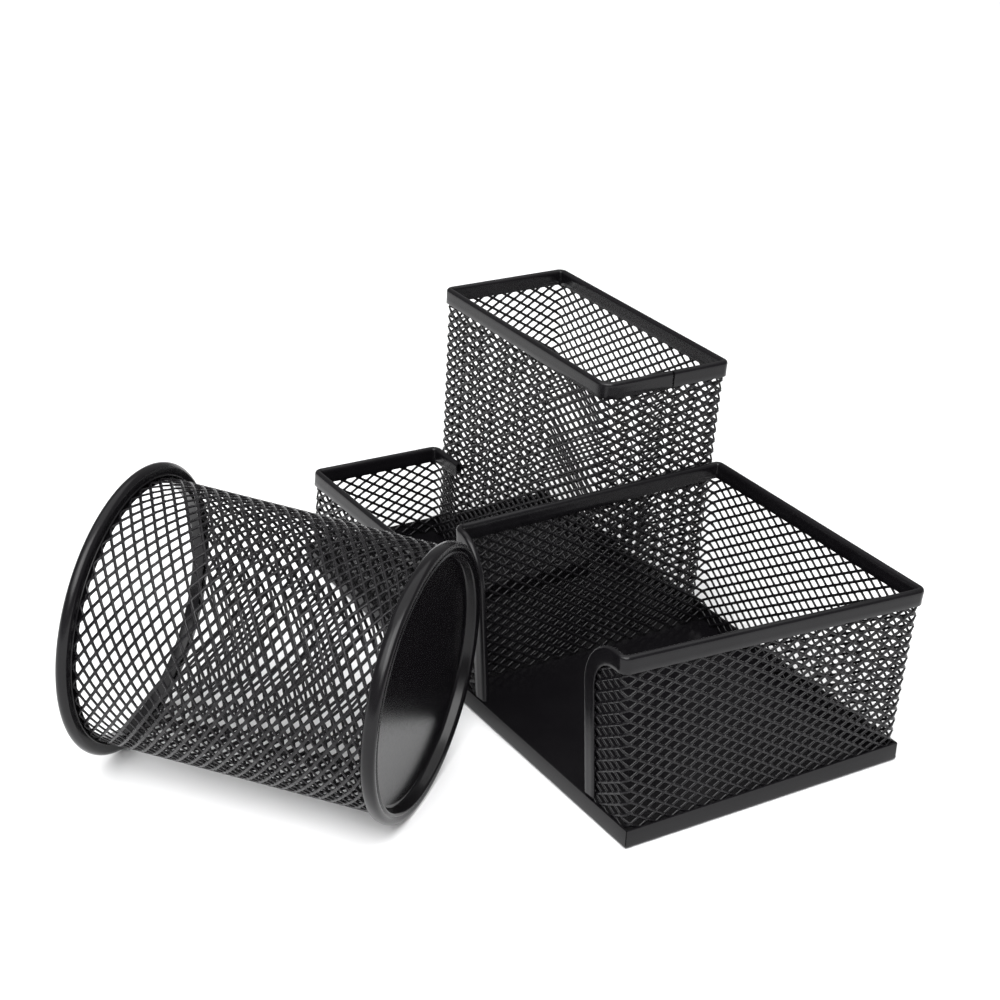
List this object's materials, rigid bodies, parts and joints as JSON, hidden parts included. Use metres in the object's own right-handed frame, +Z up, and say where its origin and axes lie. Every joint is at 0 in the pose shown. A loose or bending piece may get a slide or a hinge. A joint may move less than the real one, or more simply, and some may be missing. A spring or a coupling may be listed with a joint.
{
  "type": "mesh desk organizer set",
  "caption": "Mesh steel desk organizer with memo, pen and clip compartments, plus a matching round pen cup lying on its side.",
  "frame": {"origin": "middle of the organizer's base pan, on the surface it stands on", "axes": "+Z up, -Y towards the open front of the memo compartment, +X along that front towards the memo compartment"},
  "size_m": [0.2078, 0.241, 0.0983],
  "materials": {
    "coated_sheet": "semi-gloss black powder coat on pressed sheet steel",
    "coated_rim": "semi-gloss black powder coat on folded steel strip",
    "coated_mesh": "satin black powder coat on expanded metal"
  },
  "bodies": {
    "organizer": {"base_pan": "coated_sheet", "memo_mesh": "coated_mesh", "memo_rim": "coated_rim", "pen_mesh": "coated_mesh", "pen_rim": "coated_rim", "clip_mesh": "coated_mesh", "clip_rim": "coated_rim"},
    "cup": {"cup_mesh": "coated_mesh", "cup_mouth_rim": "coated_rim", "cup_base": "coated_sheet"}
  },
  "joints": [
    {"name": "cup_lift", "type": "slide", "parent": "organizer", "child": "cup", "axis": [0, 0, 1], "range_m": [0, 0.15]}
  ]
}
